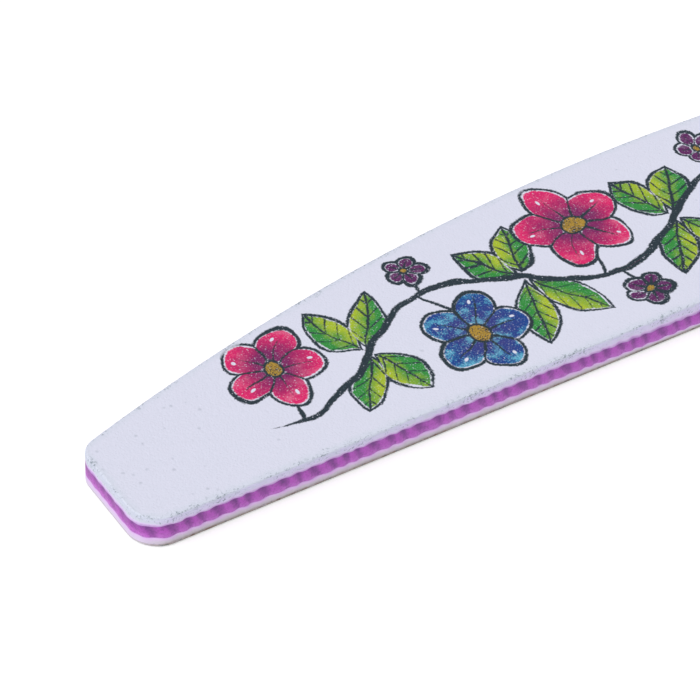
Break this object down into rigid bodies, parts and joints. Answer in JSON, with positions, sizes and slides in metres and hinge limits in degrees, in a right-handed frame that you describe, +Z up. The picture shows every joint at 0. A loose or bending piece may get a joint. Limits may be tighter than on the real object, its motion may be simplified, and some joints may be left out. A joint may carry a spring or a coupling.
{
  "type": "half-moon emery board",
  "caption": "Half-moon emery board: a coloured core between foam plies, with a printed grit face on each side, for filing and shaping fingernails by hand.",
  "frame": {"origin": "middle of the outline's box, on the surface that the board lies on", "axes": "+X along the board, +Y from the straight edge towards the curved edge, +Z up through the plies"},
  "size_m": [0.178, 0.028, 0.004],
  "materials": {
    "grit_coat": "rough abrasive grains, printed",
    "backing_paper": "matt cut paper edge",
    "adhesive_film": "matt",
    "foam": "matt fine-celled foam",
    "core": "satin cut edge"
  },
  "bodies": {
    "root": {"lower_grit_coat": "grit_coat", "lower_backing_paper": "backing_paper", "lower_paper_adhesive": "adhesive_film", "lower_foam": "foam", "lower_core_adhesive": "adhesive_film", "core_board": "core", "upper_core_adhesive": "adhesive_film", "upper_foam": "foam", "upper_paper_adhesive": "adhesive_film", "upper_backing_paper": "backing_paper", "upper_grit_coat": "grit_coat"}
  },
  "joints": []
}
